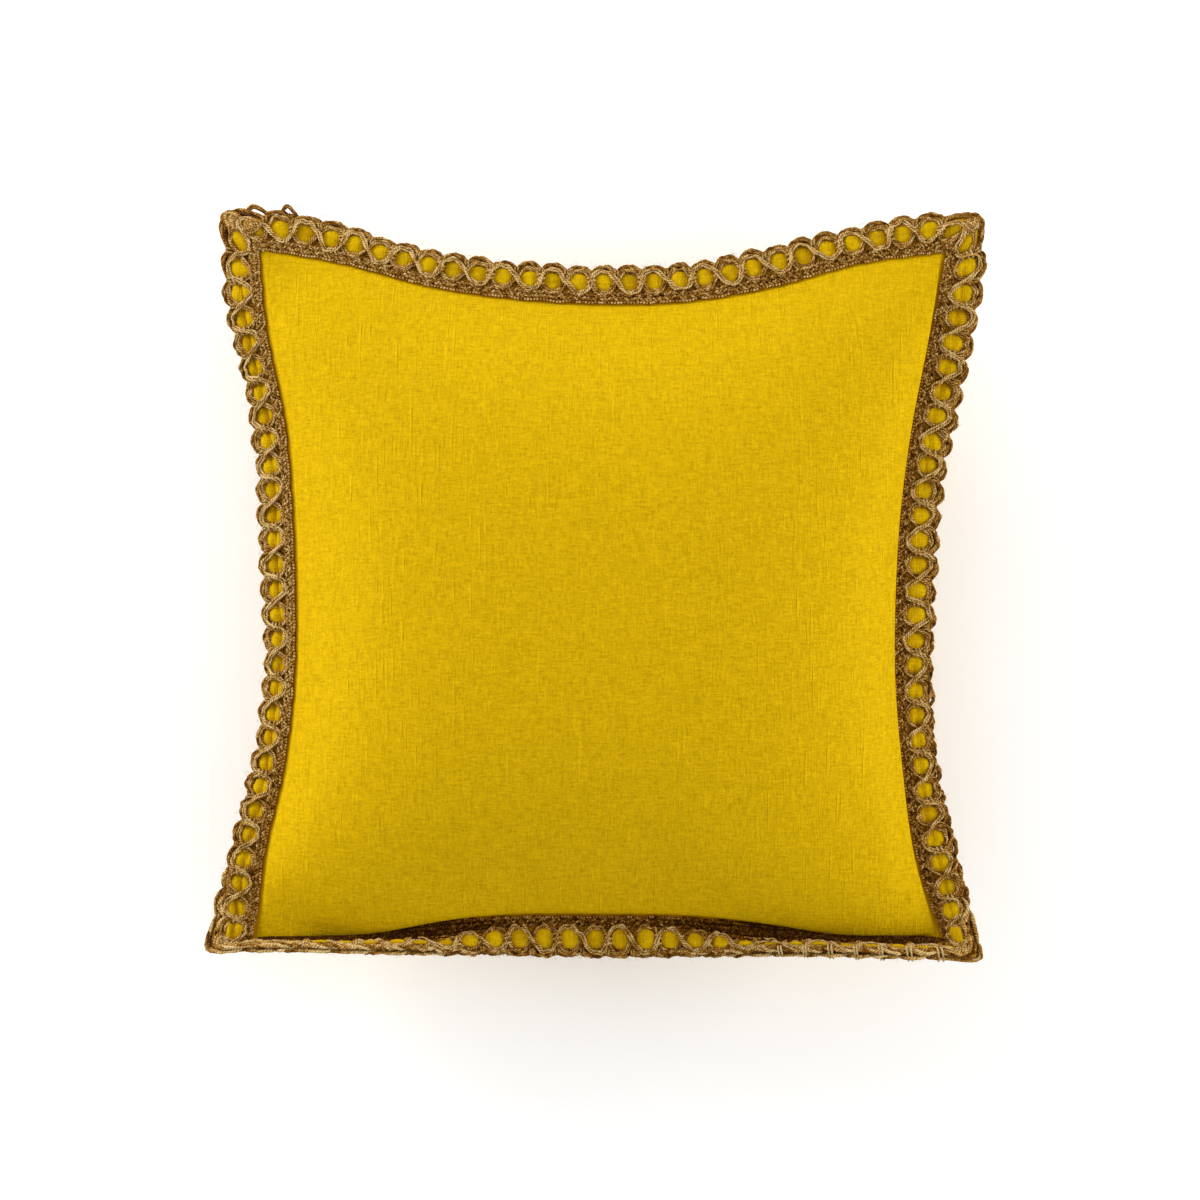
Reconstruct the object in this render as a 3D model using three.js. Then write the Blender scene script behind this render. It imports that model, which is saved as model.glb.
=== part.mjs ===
// A square cushion in plain yellow cloth, edged on both faces with an openwork jute braid.
// Millimetres, +Z up. The cushion lies on its back: its front looks up and its top edge is at +Y.
// The origin is under the middle of the cushion, on the surface that it lies on.
import * as THREE from 'three';

// Driving dimensions
const CELLS = 29; // eyelets of the braid along each side
const BRAID_WIDTH = 25; // from the heading's inner edge to the tips of the outer arcs
const FRONT_CROWN = 66; // rise of the front above the line where the panel leaves the border
const BACK_CROWN = 66; // the same below, before the cushion's weight flattens it
const RESTING_DEPTH = 67; // from the level of the edge seam down to the surface it lies on
const SETTLING = 9; // width of the soft bend round the flattened patch
const CROWN_SHAPE = { flatness: 2.5, softness: 0.7 }; // flat in the middle, soft at the rim
const PANEL_LEVEL = 9.5; // height of the panel's line above, and below, the edge seam
const EDGE_THICKNESS = 2.8; // front cloth to back cloth along the edge
const EDGE_ROUNDING = 0.8; // how far the seam stands out from the two cloths
const ARC_OVERHANG = 3; // how far the outer arcs stand past the cloth
const BACK_BORDER = 28; // width of the border on the back
const TUCKED_BORDER = 7; // how far it reaches in where the edge is turned up
const GAP = 0.4; // between the braid and the cloth

// Corners of the braid's outer line and of the front panel, clockwise from the top left, and
// which way is inwards there
const CORNERS = [
  { outer: [-218, 219.5], panel: [-192.5, 192.5], inwards: [1, -1] },
  { outer: [231, 220.5], panel: [201.5, 191], inwards: [-1, -1] },
  { outer: [222, -216], panel: [199, -204], inwards: [-1, 1] },
  { outer: [-223.5, -210.5], panel: [-195, -206], inwards: [1, 1] },
];

// How each side is drawn in, clockwise from its first corner.
// along: share of the side. outer and panel: how far each line lies inside the straight line
// between its corners. lift: height of the outer line above the level of the edge seam.
const SIDES = [
  {
    name: 'top',
    rows: [
      { along: 0, outer: 0, panel: 0, lift: -2 },
      { along: 0.12, outer: 5.5, panel: 8, lift: 0 },
      { along: 0.25, outer: 22.5, panel: 21, lift: 0.5 },
      { along: 0.38, outer: 32, panel: 28, lift: 1 },
      { along: 0.5, outer: 34.5, panel: 30.5, lift: 1 },
      { along: 0.62, outer: 32, panel: 29, lift: 0.5 },
      { along: 0.75, outer: 19.5, panel: 20.5, lift: 0.5 },
      { along: 0.88, outer: 6.5, panel: 6.5, lift: 1 },
      { along: 1, outer: 0, panel: 0, lift: 1 },
    ],
  },
  {
    name: 'right',
    rows: [
      { along: 0, outer: 0, panel: 0, lift: 1 },
      { along: 0.12, outer: 4.5, panel: 8.5, lift: 2 },
      { along: 0.25, outer: 15, panel: 18.5, lift: 3 },
      { along: 0.38, outer: 25.5, panel: 25, lift: 3 },
      { along: 0.5, outer: 28, panel: 27.5, lift: 2 },
      { along: 0.62, outer: 28.5, panel: 27.5, lift: 2 },
      { along: 0.75, outer: 25, panel: 23, lift: 2 },
      { along: 0.88, outer: 10.5, panel: 15, lift: 5 },
      { along: 1, outer: 0, panel: 0, lift: 27 },
    ],
  },
  {
    name: 'bottom',
    rows: [
      { along: 0, outer: 0, panel: 0, lift: 27 },
      { along: 0.12, outer: 2.5, panel: 1, lift: 32 },
      { along: 0.25, outer: 1.5, panel: 8.5, lift: 22 },
      { along: 0.38, outer: -3, panel: 13.5, lift: 9 },
      { along: 0.5, outer: -4, panel: 14.5, lift: 7 },
      { along: 0.62, outer: -3.5, panel: 14.5, lift: 8 },
      { along: 0.75, outer: -0.5, panel: 11, lift: 22 },
      { along: 0.88, outer: 2, panel: 1.5, lift: 33 },
      { along: 1, outer: 0, panel: 0, lift: 24 },
    ],
  },
  {
    name: 'left',
    rows: [
      { along: 0, outer: 0, panel: 0, lift: 24 },
      { along: 0.12, outer: 9, panel: 5, lift: 1 },
      { along: 0.25, outer: 23, panel: 16, lift: -3 },
      { along: 0.38, outer: 29.5, panel: 21.5, lift: -3 },
      { along: 0.5, outer: 27, panel: 22, lift: -3 },
      { along: 0.62, outer: 24.5, panel: 20, lift: -3 },
      { along: 0.75, outer: 16.5, panel: 15.5, lift: -4 },
      { along: 0.88, outer: 3, panel: 5, lift: -4 },
      { along: 1, outer: 0, panel: 0, lift: -2 },
    ],
  },
];

// Where the top edge's cloth stops short of the outer arcs, so that daylight shows between them
const DAYLIGHT = { from: 0.29, to: 0.49, short: 2 };

// Soft hollows in the front near its corners
const HOLLOWS = [
  { at: [178, -186], reach: 20, depth: 3.5 },
  { at: [190, 186], reach: 14, depth: 1.5 },
  { at: [-180, 184], reach: 16, depth: 2 },
  { at: [-184, -190], reach: 16, depth: 2 },
];

// One repeat of the braid. across: from the heading's inner edge outwards. rise: top of the jute
// above the cloth.
const HEADING_EDGE = { across: 1.9, rise: 2, squeezed: 3.2 };
const HEADING_RIDGE = { across: 7.2, rise: 3.6 };
const CROSSING = { across: 14.5, rise: 4.4 };
const DIP = { across: 22.4, rise: 3 };
const ARC_TIP = { across: 25, rise: 2.9, shares: [0.28, 0.72] };
const EYELET = { across: 14.6, halfAcross: 6.8, halfShare: 0.355, sides: 8, rise: 3 };
const LAP = { side: 0, cell: 0, across: 13, rise: 6.5 }; // where the two ends of a braid lap

const CORNER_CELLS = 3; // repeats over which the braid is eased round each corner

// The lines that each braid runs between, which way it faces, and whether the crown crowds it
const FRONT = {
  inner: 'panel', outer: 'frontEdge', facing: 'frontFacing', squeezed: true, flipped: false,
};
const BACK = {
  inner: 'backInner', outer: 'backEdge', facing: 'backFacing', squeezed: false, flipped: true,
};

/** A line from corner to corner, drawn in as a side's table says. */
class DrawnInLine extends THREE.Curve {
  constructor(start, end, rows, insetOf, levelOf) {
    super();
    this.start = new THREE.Vector3(...start, 0);
    this.end = new THREE.Vector3(...end, 0);
    const chord = this.end.clone().sub(this.start).normalize();
    this.inward = new THREE.Vector3(chord.y, -chord.x, 0);
    const along = rows.map((row) => row.along);
    const values = rows.flatMap((row) => [insetOf(row), levelOf(row)]);
    this.table = new THREE.CubicInterpolant(along, values, 2, new Float32Array(2));
  }

  getPoint(share, target = new THREE.Vector3()) {
    const [inset, level] = this.table.evaluate(share);
    target.copy(this.start).lerp(this.end, share).addScaledVector(this.inward, inset);
    target.z = level;
    return target;
  }
}

/** The share of a line's length where cell line k stands: even repeats, eased at the corners. */
function shareAt(k, length, evenLength) {
  const fromMiddle = k / CELLS - 0.5;
  const easing = CORNER_CELLS / CELLS;
  const ramp = Math.max(0, (Math.abs(fromMiddle) - 0.5 + easing) / easing) ** 2;
  const spare = (length - evenLength) / 2;
  const distance = fromMiddle * evenLength + Math.sign(fromMiddle) * spare * ramp;
  return THREE.MathUtils.clamp(0.5 + distance / length, 0, 1);
}

/** How far the back's border reaches in from an outer line of this lift. */
function backReach(lift) {
  const rise = Math.min(lift + PANEL_LEVEL, BACK_BORDER);
  return Math.max(TUCKED_BORDER, Math.sqrt(BACK_BORDER ** 2 - rise ** 2));
}

/** The back panel's line, which runs inside the outer line. */
function backLine(first, last, rows) {
  const reaches = [rows[0], rows[rows.length - 1]].map((row) => backReach(row.lift));
  const [start, end] = [first, last].map((corner, number) => {
    return corner.outer.map((value, axis) => value + reaches[number] * corner.inwards[axis]);
  });
  const insetOf = (row) => {
    const straight = THREE.MathUtils.lerp(...reaches, row.along);
    return row.outer + backReach(row.lift) - straight;
  };
  return new DrawnInLine(start, end, rows, insetOf, () => -PANEL_LEVEL);
}

/** The cell lines of the whole ring, each with its points on the outer, panel and back lines. */
function makeRing() {
  const lines = [];
  SIDES.forEach((side, number) => {
    const first = CORNERS[number];
    const last = CORNERS[(number + 1) % CORNERS.length];
    const { rows } = side;
    const outer = new DrawnInLine(
      first.outer, last.outer, rows, (row) => row.outer, (row) => row.lift,
    );
    const panel = new DrawnInLine(
      first.panel, last.panel, rows, (row) => row.panel, () => PANEL_LEVEL,
    );
    const back = backLine(first, last, rows);
    const evenLength = (outer.getLength() + panel.getLength()) / 2;
    for (let k = 0; k < CELLS; k += 1) {
      const point = (line) => line.getPointAt(shareAt(k, line.getLength(), evenLength));
      lines.push({
        side: number,
        share: k / CELLS,
        panelShare: shareAt(k, panel.getLength(), evenLength),
        outer: point(outer),
        panel: point(panel),
        back: point(back),
      });
    }
  });
  return lines;
}

/** Adds the two cloths' edges, the seam between them and the way each border faces. */
function finishRing(lines) {
  const at = (k) => lines[(k + lines.length) % lines.length];
  lines.forEach((line, k) => {
    const along = at(k + 1).outer.clone().sub(at(k - 1).outer).normalize();
    const inward = line.panel.clone().add(line.back).divideScalar(2).sub(line.outer).normalize();
    line.facing = along.clone().cross(inward).negate().normalize();
    line.frontEdge = line.outer.clone().addScaledVector(line.facing, EDGE_THICKNESS / 2);
    line.backEdge = line.outer.clone().addScaledVector(line.facing, -EDGE_THICKNESS / 2);
    const onward = line.back.clone().sub(line.backEdge).setLength(BRAID_WIDTH);
    line.backInner = line.backEdge.clone().add(onward);
    line.outward = inward.negate();
    const turnedUp = (line.outer.z - PANEL_LEVEL) / BRAID_WIDTH;
    line.squeeze = HEADING_EDGE.squeezed * THREE.MathUtils.clamp(turnedUp, 0, 1);
  });
  lines.forEach((line, k) => {
    line.frontFacing = facingOf(at(k - 1), line, at(k + 1), FRONT);
    line.backFacing = facingOf(at(k - 1), line, at(k + 1), BACK);
  });
  return lines;
}

/** Which way the cloth under a braid faces at one cell line. */
function facingOf(before, line, after, { inner, outer, flipped }) {
  const alongInner = after[inner].clone().sub(before[inner]);
  const alongOuter = after[outer].clone().sub(before[outer]);
  const across = line[outer].clone().sub(line[inner]);
  return alongInner.add(alongOuter).cross(across).setLength(flipped ? -1 : 1);
}

/** Points and triangles of one solid. */
class Solid {
  constructor() {
    this.points = [];
    this.triangles = [];
  }

  add(point) {
    this.points.push(point);
    return this.points.length - 1;
  }

  face(a, b, c, flipped) {
    this.triangles.push(...(flipped ? [a, c, b] : [a, b, c]));
  }

  quad(a, b, c, d, flipped) {
    this.face(a, b, c, flipped);
    this.face(a, c, d, flipped);
  }

  mesh(name, material) {
    const geometry = new THREE.BufferGeometry().setFromPoints(this.points);
    geometry.setIndex(this.triangles);
    geometry.computeVertexNormals();
    const mesh = new THREE.Mesh(geometry, material);
    mesh.name = name;
    return mesh;
  }
}

/** How full the cushion is at a place on its face, from 0 at the border to 1 in the middle. */
function fullness(a, b) {
  const swell = (share) => 1 - Math.abs(2 * share - 1) ** CROWN_SHAPE.flatness;
  return (swell(a) * swell(b)) ** CROWN_SHAPE.softness;
}

/** The smaller of two depths, with a soft bend where they meet. */
function softLimit(depth, limit, bend) {
  const mix = THREE.MathUtils.clamp(0.5 + (0.5 * (limit - depth)) / bend, 0, 1);
  return limit + (depth - limit) * mix - bend * mix * (1 - mix);
}

function hollowAt(point) {
  let depth = 0;
  for (const hollow of HOLLOWS) {
    const far = Math.hypot(point.x - hollow.at[0], point.y - hollow.at[1]) / hollow.reach;
    depth += hollow.depth * Math.exp(-far * far);
  }
  return depth;
}

/** Fills the line of one face with a net of points, blended between its four drawn-in sides. */
function netPoint(lines, key, i, j) {
  const top = (k) => lines[k][key];
  const right = (k) => lines[CELLS + k][key];
  const bottom = (k) => lines[3 * CELLS - k][key];
  const left = (k) => lines[(4 * CELLS - k) % (4 * CELLS)][key];
  const shareOf = (first, k) => (k === CELLS ? 1 : lines[first + k].panelShare);
  const a = shareOf(0, i);
  const b = shareOf(CELLS, j);
  const point = new THREE.Vector3();
  point.addScaledVector(top(i), 1 - b).addScaledVector(bottom(i), b);
  point.addScaledVector(left(j), 1 - a).addScaledVector(right(j), a);
  point.addScaledVector(top(0), -(1 - a) * (1 - b)).addScaledVector(right(0), -a * (1 - b));
  point.addScaledVector(left(CELLS), -(1 - a) * b).addScaledVector(right(CELLS), -a * b);
  return { point, full: fullness(a, b) };
}

/** Which cell line a point on the rim of a face's net belongs to, or -1 inside it. */
function rimLine(i, j) {
  if (j === 0) return i % (4 * CELLS);
  if (i === CELLS) return CELLS + j;
  if (j === CELLS) return 3 * CELLS - i;
  return i === 0 ? 4 * CELLS - j : -1;
}

function makeFace(solid, lines, key, rim, shape, flipped) {
  const net = [];
  for (let j = 0; j <= CELLS; j += 1) {
    for (let i = 0; i <= CELLS; i += 1) {
      const line = rimLine(i, j);
      if (line >= 0) {
        net.push(rim[line]);
        continue;
      }
      const { point, full } = netPoint(lines, key, i, j);
      point.z = shape(point, full);
      net.push(solid.add(point));
    }
  }
  const row = CELLS + 1;
  for (let j = 0; j < CELLS; j += 1) {
    for (let i = 0; i < CELLS; i += 1) {
      const corner = j * row + i;
      const far = corner + row;
      if (i + j === CELLS - 1 || (i < CELLS / 2) !== (j < CELLS / 2)) {
        solid.quad(net[corner], net[far], net[far + 1], net[corner + 1], flipped);
      } else {
        solid.quad(net[corner + 1], net[corner], net[far], net[far + 1], flipped);
      }
    }
  }
}

/** The filled cushion: two crowned faces and the thin border between them. */
function makeCushion(lines) {
  const solid = new Solid();
  const short = (line) => {
    const inDaylight = line.side === 0 && line.share > DAYLIGHT.from && line.share < DAYLIGHT.to;
    return ARC_OVERHANG + (inDaylight ? DAYLIGHT.short : 0);
  };
  const shortOf = (line, outer, inner) => {
    const inward = line[inner].clone().sub(line[outer]);
    return line[outer].clone().addScaledVector(inward, short(line) / BRAID_WIDTH);
  };
  const rows = [[], [], [], [], []];
  for (const line of lines) {
    const front = shortOf(line, 'frontEdge', 'panel');
    const back = shortOf(line, 'backEdge', 'backInner');
    const seam = front.clone().add(back).divideScalar(2);
    seam.addScaledVector(line.outward, EDGE_ROUNDING);
    [line.panel, front, seam, back, line.backInner].forEach((point, row) => {
      rows[row].push(solid.add(point));
    });
  }
  for (let row = 0; row + 1 < rows.length; row += 1) {
    for (let k = 0; k < lines.length; k += 1) {
      const next = (k + 1) % lines.length;
      const [inner, outer] = [rows[row], rows[row + 1]];
      solid.quad(inner[k], inner[next], outer[next], outer[k]);
    }
  }
  const frontShape = (point, full) => point.z + FRONT_CROWN * full - hollowAt(point);
  const backShape = (point, full) => {
    return -softLimit(BACK_CROWN * full - point.z, RESTING_DEPTH, SETTLING);
  };
  makeFace(solid, lines, 'panel', rows[0], frontShape, false);
  makeFace(solid, lines, 'backInner', rows[rows.length - 1], backShape, true);
  return solid;
}

/** How far the flat cell between two lines twists, which the braid over it has to clear. */
function twistOf(line, next, inner, outer) {
  const one = line[inner].clone().add(next[outer]);
  return one.sub(line[outer]).sub(next[inner]).length() / 4;
}

/** One braid: a ring of repeats, each with a heading, an eyelet, crossings and an outer arc. */
function makeBraid(lines, { inner, outer, facing, squeezed, flipped }) {
  const solid = new Solid();
  const count = lines.length;
  const lineAt = (k) => lines[(k + count) % count];
  const clearance = lines.map((line, k) => {
    const twists = [lineAt(k - 1), line].map((one, step) => {
      return twistOf(one, lineAt(k + step), inner, outer);
    });
    return GAP + Math.max(...twists);
  });

  /** A point of the braid: share of the way to the next line, distance across, and height. */
  const place = (k, share, across, rise) => {
    const [line, next] = [lineAt(k), lineAt(k + 1)];
    const near = line[inner].clone().lerp(line[outer], across / BRAID_WIDTH);
    const far = next[inner].clone().lerp(next[outer], across / BRAID_WIDTH);
    const up = line[facing].clone().lerp(next[facing], share).normalize();
    const lift = THREE.MathUtils.lerp(clearance[k % count], clearance[(k + 1) % count], share);
    return near.lerp(far, share).addScaledVector(up, lift + rise);
  };
  const topAndBottom = (k, share, { across, rise }) => ({
    top: solid.add(place(k, share, across, rise)),
    bottom: solid.add(place(k, share, across, 0)),
  });

  const borders = lines.map((line, k) => ({
    heading: topAndBottom(k, 0, {
      across: HEADING_EDGE.across + (squeezed ? line.squeeze : 0),
      rise: HEADING_EDGE.rise,
    }),
    ridge: { top: solid.add(place(k, 0, HEADING_RIDGE.across, HEADING_RIDGE.rise)) },
    crossing: { top: solid.add(place(k, 0, CROSSING.across, CROSSING.rise)) },
    dip: topAndBottom(k, 0, DIP),
  }));
  const shapes = cellShapes();
  for (let k = 0; k < count; k += 1) {
    const [near, far] = [borders[k], borders[(k + 1) % count]];
    const arc = ARC_TIP.shares.map((share) => topAndBottom(k, share, ARC_TIP));
    const topRim = [
      near.heading, far.heading, far.ridge, far.crossing, far.dip,
      arc[1], arc[0], near.dip, near.crossing, near.ridge,
    ];
    const bottomRim = [near.heading, far.heading, far.dip, arc[1], arc[0], near.dip];
    const closed = k === LAP.side * CELLS + LAP.cell;
    const eyelet = closed ? [] : shapes.eyelet.map(([share, across]) => {
      return topAndBottom(k, share, { across, rise: EYELET.rise });
    });
    if (closed) {
      const lump = solid.add(place(k, 0.5, LAP.across, LAP.rise));
      topRim.forEach((point, number) => {
        solid.face(point.top, topRim[(number + 1) % topRim.length].top, lump, flipped);
      });
      for (const [a, b, c] of shapes.closedBottom) {
        solid.face(bottomRim[a].bottom, bottomRim[c].bottom, bottomRim[b].bottom, flipped);
      }
    } else {
      const tops = [...topRim, ...eyelet];
      const bottoms = [...bottomRim, ...eyelet];
      for (const [a, b, c] of shapes.top) {
        solid.face(tops[a].top, tops[b].top, tops[c].top, flipped);
      }
      for (const [a, b, c] of shapes.bottom) {
        solid.face(bottoms[a].bottom, bottoms[c].bottom, bottoms[b].bottom, flipped);
      }
    }
    const wall = (one, two) => solid.quad(one.top, one.bottom, two.bottom, two.top, flipped);
    wall(near.heading, far.heading);
    wall(far.dip, arc[1]);
    wall(arc[1], arc[0]);
    wall(arc[0], near.dip);
    eyelet.forEach((point, number) => wall(eyelet[(number + 1) % eyelet.length], point));
  }
  return solid;
}

/** The triangles of one repeat, worked out once in its flat shape. */
function cellShapes() {
  const eyelet = Array.from({ length: EYELET.sides }, (_, number) => {
    const turn = ((number + 0.5) / EYELET.sides) * 2 * Math.PI;
    const reach = 1 / Math.cos(Math.PI / EYELET.sides);
    return [
      0.5 + EYELET.halfShare * reach * Math.cos(turn),
      EYELET.across + EYELET.halfAcross * reach * Math.sin(turn),
    ];
  });
  const rimOf = (borderPoints) => [
    [0, HEADING_EDGE.across],
    ...borderPoints.map((across) => [1, across]),
    [ARC_TIP.shares[1], ARC_TIP.across],
    [ARC_TIP.shares[0], ARC_TIP.across],
    ...borderPoints.slice(1).reverse().map((across) => [0, across]),
  ];
  const topRim = rimOf([
    HEADING_EDGE.across, HEADING_RIDGE.across, CROSSING.across, DIP.across,
  ]);
  const bottomRim = rimOf([HEADING_EDGE.across, DIP.across]);
  return {
    eyelet,
    top: trianglesOf(topRim, [eyelet]),
    bottom: trianglesOf(bottomRim, [eyelet]),
    closedBottom: trianglesOf(bottomRim, []),
  };
}

/** Triangles of a flat outline with holes, all turned anticlockwise. */
function trianglesOf(rim, holes) {
  const pitch = BRAID_WIDTH * 0.59;
  const flat = (outline) => outline.map(([share, across]) => {
    return new THREE.Vector2(share * pitch, across);
  });
  const points = [rim, ...holes].flatMap(flat);
  return THREE.ShapeUtils.triangulateShape(flat(rim), holes.map(flat)).map(([a, b, c]) => {
    const area = THREE.ShapeUtils.area([points[a], points[b], points[c]]);
    return area > 0 ? [a, b, c] : [a, c, b];
  });
}

const cloth = new THREE.MeshStandardMaterial({ color: '#e0b10a', roughness: 0.85, metalness: 0 });
const jute = new THREE.MeshStandardMaterial({ color: '#a67f49', roughness: 0.9, metalness: 0 });

const ring = finishRing(makeRing());
const part = new THREE.Group();
part.add(makeCushion(ring).mesh('cushion', cloth));
part.add(makeBraid(ring, FRONT).mesh('braid_front', jute));
part.add(makeBraid(ring, BACK).mesh('braid_back', jute));

const box = new THREE.Box3().setFromObject(part);
const middle = box.getCenter(new THREE.Vector3());
part.position.set(-middle.x, -middle.y, -box.min.z);

export default part;
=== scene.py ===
"""A square cushion in yellow slub cloth, edged on both faces with an openwork jute braid.

Blender 4.5. Objects are in metres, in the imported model's frame: the cushion lies on its back,
+Z is up out of its front, and its top edge is at +Y. The border and the braids are laid out in
millimetres, on lines that run round the cushion in the source's own frame, whose Z is 0 at the
level of the edge seam.
"""

import bpy
import numpy as np
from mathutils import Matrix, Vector


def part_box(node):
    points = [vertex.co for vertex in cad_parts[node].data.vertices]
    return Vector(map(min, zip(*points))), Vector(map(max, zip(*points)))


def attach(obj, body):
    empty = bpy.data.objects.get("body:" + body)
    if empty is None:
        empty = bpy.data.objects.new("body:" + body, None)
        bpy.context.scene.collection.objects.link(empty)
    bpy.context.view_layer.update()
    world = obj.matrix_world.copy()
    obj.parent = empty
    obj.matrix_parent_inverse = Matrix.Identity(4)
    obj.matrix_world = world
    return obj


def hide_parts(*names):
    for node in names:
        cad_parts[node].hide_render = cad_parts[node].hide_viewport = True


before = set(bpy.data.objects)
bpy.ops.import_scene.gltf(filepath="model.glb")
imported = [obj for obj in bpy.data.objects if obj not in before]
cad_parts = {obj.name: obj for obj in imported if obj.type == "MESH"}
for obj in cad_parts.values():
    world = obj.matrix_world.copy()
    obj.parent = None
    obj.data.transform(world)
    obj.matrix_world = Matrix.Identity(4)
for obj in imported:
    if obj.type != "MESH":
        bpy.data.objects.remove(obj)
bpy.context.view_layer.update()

MM = 0.001
TURN = 2 * np.pi

# Driving dimensions, in millimetres

CELLS = 29  # eyelets of the braid along each side
ROUND = 4 * CELLS
BRAID_WIDTH = 25
FRONT_CROWN = 66
BACK_CROWN = 66
RESTING_DEPTH = 67  # from the level of the edge seam down to what the cushion lies on
SETTLING = 9
CROWN_FLATNESS = 2.5
CROWN_SOFTNESS = 0.7
PANEL_LEVEL = 9.5
BULGE = 0.12  # how full the panel is where it bulges furthest over the heading
SIDE_BULGES = {"right": 3.9, "left": -0.4}
BOTTOM_BULGE = {"least": 2.3, "more": ((-116, 36, 2.7), (145, 46, 2.2))}  # middle, reach, height
EDGE_THICKNESS = 2.8
EDGE_ROUNDING = 0.8
ARC_OVERHANG = 3
BACK_BORDER = 28
TUCKED_BORDER = 7
CORNER_CELLS = 3

# Corners of the braid's outer line and of the front panel, clockwise from the top left, and
# which way is inwards there
CORNERS = [
    {"outer": (-218, 219.5), "panel": (-192.5, 192.5), "inwards": (1, -1)},
    {"outer": (231, 220.5), "panel": (201.5, 191), "inwards": (-1, -1)},
    {"outer": (222, -216), "panel": (199, -204), "inwards": (-1, 1)},
    {"outer": (-223.5, -210.5), "panel": (-195, -206), "inwards": (1, 1)},
]

# How each side is drawn in, clockwise from its first corner: how far its outer line and its
# panel line lie inside the straight one, and how high its edge is lifted, at these shares of it
ALONG = (0, 0.12, 0.25, 0.38, 0.5, 0.62, 0.75, 0.88, 1)
SIDES = {
    "top": {
        "outer": (0, 5.5, 22.5, 32, 34.5, 32, 19.5, 6.5, 0),
        "panel": (0, 8, 21, 28, 30.5, 29, 20.5, 6.5, 0),
        "lift": (-2, 0, 0.5, 1, 1, 0.5, 0.5, 1, 1),
    },
    "right": {
        "outer": (0, 4.5, 15, 25.5, 28, 28.5, 25, 10.5, 0),
        "panel": (0, 8.5, 18.5, 25, 27.5, 27.5, 23, 15, 0),
        "lift": (1, 2, 3, 3, 2, 2, 2, 5, 27),
    },
    "bottom": {
        "outer": (0, 2.5, 1.5, -3, -4, -3.5, -0.5, 2, 0),
        "panel": (0, 1, 8.5, 13.5, 14.5, 14.5, 11, 1.5, 0),
        "lift": (27, 32, 22, 9, 7, 8, 22, 33, 24),
    },
    "left": {
        "outer": (0, 9, 23, 29.5, 27, 24.5, 16.5, 3, 0),
        "panel": (0, 5, 16, 21.5, 22, 20, 15.5, 5, 0),
        "lift": (24, 1, -3, -3, -3, -3, -4, -4, -2),
    },
}

# Soft hollows in the front near its corners
HOLLOWS = [
    {"at": (178, -186), "reach": 20, "depth": 3.5},
    {"at": (190, 186), "reach": 14, "depth": 1.5},
    {"at": (-180, 184), "reach": 16, "depth": 2},
    {"at": (-184, -190), "reach": 16, "depth": 2},
]

# Where the top edge's cloth stops short of the outer arcs, in shares of the side
DAYLIGHT = {"start": 0.29, "end": 0.49, "ramp": 4 / 150, "short": 2.6}

# The border's cloth on each face: the line it reaches in to, how far its repeats are behind the
# front's, what its unevenness starts at, and how high it puffs
FACES = {
    "front": {"inner": "panel", "lag": 0, "tilt": 0.7, "puff": 1},
    "back": {"inner": "back_inner", "lag": 0.5, "tilt": 2.1, "puff": 0.8},
}
# lit is the puff height above which the border's cloth gets no painted shade
PUFF = {"height": 2.5, "half_length": 0.42, "groove": 2.6, "groove_width": 1.1, "lit": 2.2}

PANEL_STEPS = 5  # squares of the cloth's net in each repeat of the braid
BORDER_ROWS = 15  # rows of points across the border of each face
SIM_STEPS = 3  # squares of the simulated net in each repeat
SIM_FRAMES = 20
SMOOTHING_PASSES = 10
FILLING_CAP = 5  # how far the filling may move the cloth
CLOTH_SETTINGS = {
    "quality": 5,
    "mass": 0.25,
    "tension_stiffness": 22,
    "compression_stiffness": 22,
    "shear_stiffness": 8,
    "bending_stiffness": 0.6,
    "vertex_group_mass": "held",
    "use_pressure": True,
    "uniform_pressure_force": 4,
    "shrink_min": -0.012,
}

# The braid, across from the heading's inner edge, and heights above the cloth
EYELET = {"across": 14.4, "half": 6.5, "turned_up": {"across": 18.8, "half": 2.6}}
YARN = 0.68  # radius of one yarn of the figure-of-eight strands
STUFFING_YARN = 0.95  # radius of the dark yarns that lie underneath
# The two strands of the figures of eight, each of two yarns: which way it goes first, its heights
# at a crossing and at an arc, in how many cells it turns at the diagonals and at the ties, how far
# apart its two yarns lie, and its tone, painted lighter on the strand on top and darker on the one
# beneath as painted highlight and shade
STRANDS = (
    {"way": 1, "top": 3.9, "low": 2.7, "diagonal": (0.20, 0.37), "tie": (0.085, 0.24),
     "apart": 1.46, "tone": 0.62},
    {"way": -1, "top": 2.0, "low": 2.3, "diagonal": (0.15, 0.30), "tie": (0.085, 0.24),
     "apart": 1.42, "tone": 0.38},
)
ROPE = {"across_tie": 19.6, "across_arc": 23.9, "yarn": 0.78, "lay": 0.8, "pitch": 1.5, "rise": 1.4}
STANDING_EDGE = {"start": 61, "end": 86, "flatter": 1.9}  # where the bottom's arcs are pressed flat
HEADING = {"inner": 2.9, "outer": 7.3, "yarn": 0.6, "beads": 8}
TIE = {"turns": 3, "pitch": 2.6, "reach": 0.15, "size": 1.95, "yarn": 0.62}
COILS = {"sizes": (1.0, 0.75, 0.5, 0.25), "tones": (0.3, 0.7, 0.35, 0.6), "half": 4.4, "yarn": 0.9}
KNOT = {"at": (0.5, 13.8, 3.9), "radius": 4.6, "turns": 3.1, "height": 1.5, "yarn": 0.8, "points": 80}
STITCH = {"from_seam": 2.2, "across": 2.3, "half_height": 4.4, "yarn": 0.62}

# Clockwise from the top left corner: how much the heading cuts the panel's corner off, how much
# the braid is drawn in on its diagonal, and the size of the coils that fill it
CORNER_CUTS = (1.8, 1.0, 1.0, 1.0)
CORNER_EASE = (0.15, 0.30, 0.27, 0.19)
CORNER_COILS = ((0.33, 20), (0.3, 20), (0.55, 21), (0.5, 21))  # half their length, middle across
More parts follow.
